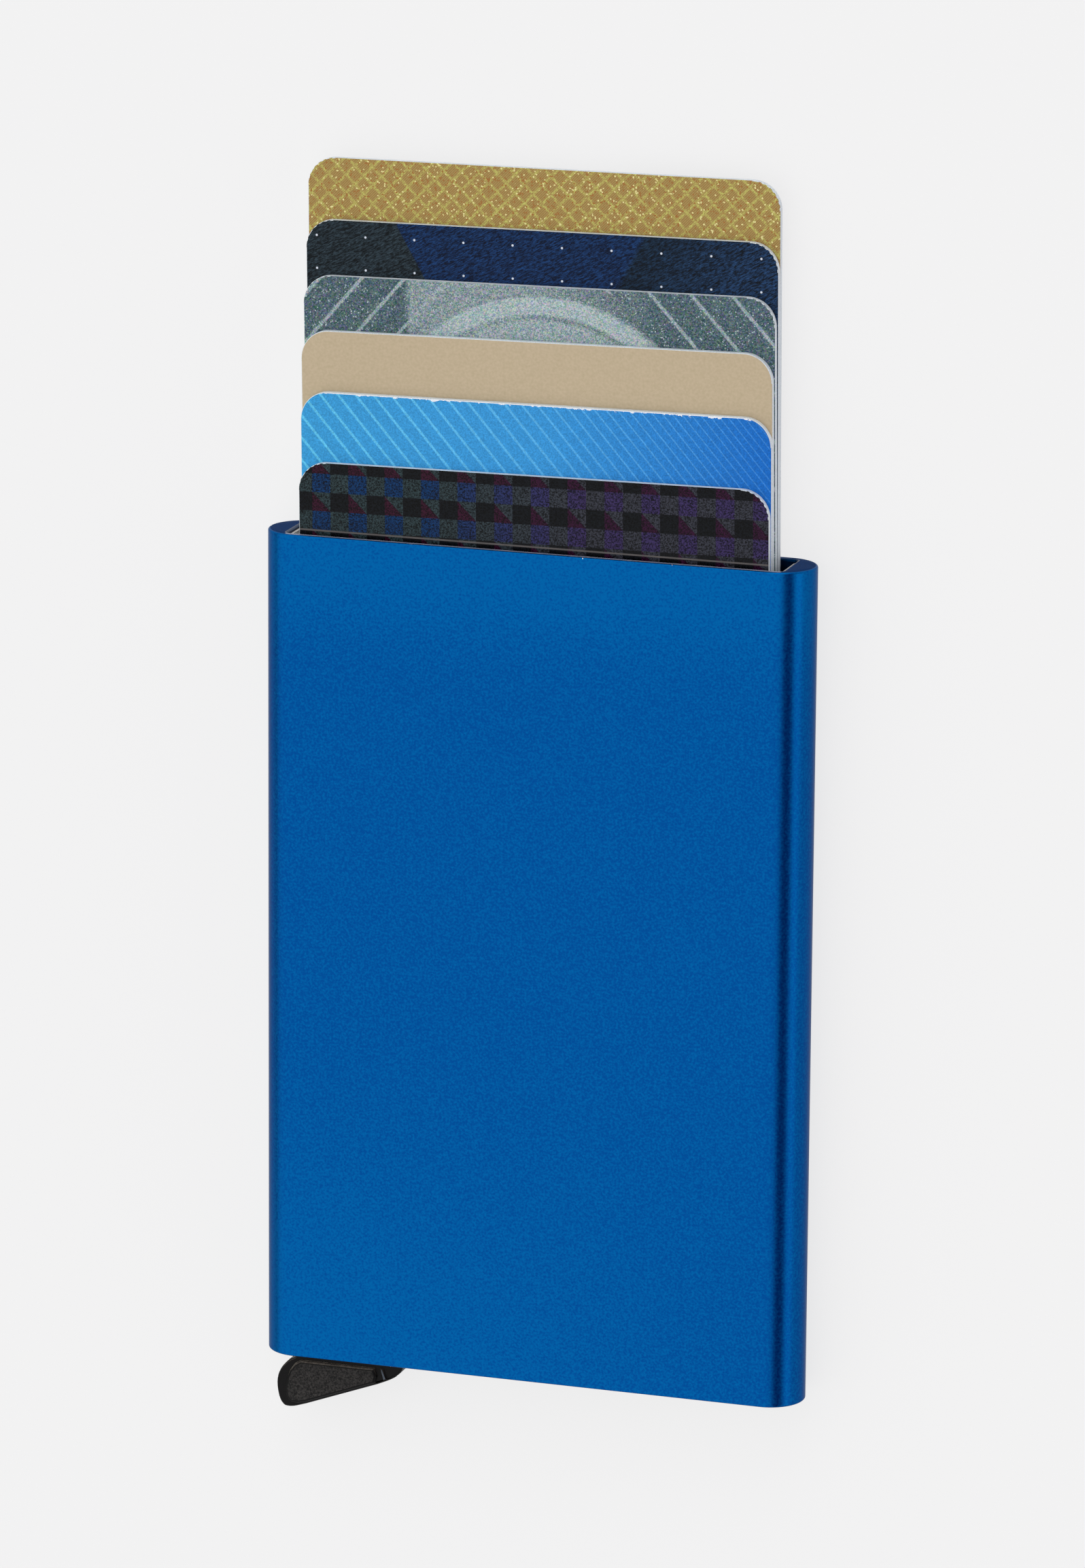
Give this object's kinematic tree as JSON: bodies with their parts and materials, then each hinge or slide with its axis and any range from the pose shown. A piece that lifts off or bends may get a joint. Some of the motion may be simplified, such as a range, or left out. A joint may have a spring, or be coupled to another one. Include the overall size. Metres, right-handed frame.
{
  "type": "card holder",
  "caption": "Flat aluminium case with rounded sides that holds bank cards and fans them out of its open top when a small lever at the bottom corner is pushed.",
  "frame": {"origin": "centre of the case's flat back face, on which the case lies", "axes": "+Y the way the cards come out, along the case; +Z out of the front face; +X to the right seen from the front, with the lever at -X"},
  "size_m": [0.063, 0.1436, 0.008],
  "materials": {
    "case_tube": "satin blue anodised, lightly blasted",
    "base_plug": "matt moulded",
    "eject_lever": "matt, finely grained",
    "pivot_pin": "ground",
    "return_spring": "drawn wire",
    "liner": "matt, soft",
    "friction_strip": "short dense felt",
    "contact_plate": "gold plated, satin",
    "card_1": "laminated card, gold lattice",
    "card_2": "laminated card, navy dotted",
    "card_3": "laminated card, grey green glitter",
    "card_4": "laminated card, plain beige",
    "card_5": "laminated card, blue striped",
    "card_6": "laminated card, dark checked"
  },
  "bodies": {
    "case": {"case_tube": "case_tube", "base_plug": "base_plug", "pivot_pin": "pivot_pin", "return_spring": "return_spring", "front_liner": "liner", "side_liner_left": "liner", "side_liner_right": "liner", "friction_strip_left": "friction_strip", "friction_strip_right": "friction_strip"},
    "lever": {"eject_lever": "eject_lever"},
    "card_1": {"card_1": "card_1", "card_1_chip": "contact_plate"},
    "card_2": {"card_2": "card_2", "card_2_chip": "contact_plate"},
    "card_3": {"card_3": "card_3", "card_3_chip": "contact_plate"},
    "card_4": {"card_4": "card_4"},
    "card_5": {"card_5": "card_5"},
    "card_6": {"card_6": "card_6", "card_6_chip": "contact_plate"}
  },
  "joints": [
    {"name": "lever_pivot", "type": "hinge", "parent": "case", "child": "lever", "pos_m": [-0.0246, -0.04301, 0.004], "axis": [0, 0, 1], "range_deg": [0, 45], "stiffness_Nm_per_rad": 0.012, "springref_deg": -28.65},
    {"name": "card_1_slide", "type": "slide", "parent": "case", "child": "card_1", "axis": [0, 1, 0], "range_m": [-0.0428, 0.047]},
    {"name": "card_2_slide", "type": "slide", "parent": "case", "child": "card_2", "axis": [0, 1, 0], "range_m": [-0.0361, 0.0537]},
    {"name": "card_3_slide", "type": "slide", "parent": "case", "child": "card_3", "axis": [0, 1, 0], "range_m": [-0.0301, 0.0597]},
    {"name": "card_4_slide", "type": "slide", "parent": "case", "child": "card_4", "axis": [0, 1, 0], "range_m": [-0.0241, 0.0657]},
    {"name": "card_5_slide", "type": "slide", "parent": "case", "child": "card_5", "axis": [0, 1, 0], "range_m": [-0.0173, 0.0725]},
    {"name": "card_6_slide", "type": "slide", "parent": "case", "child": "card_6", "axis": [0, 1, 0], "range_m": [-0.0095, 0.0803]}
  ]
}
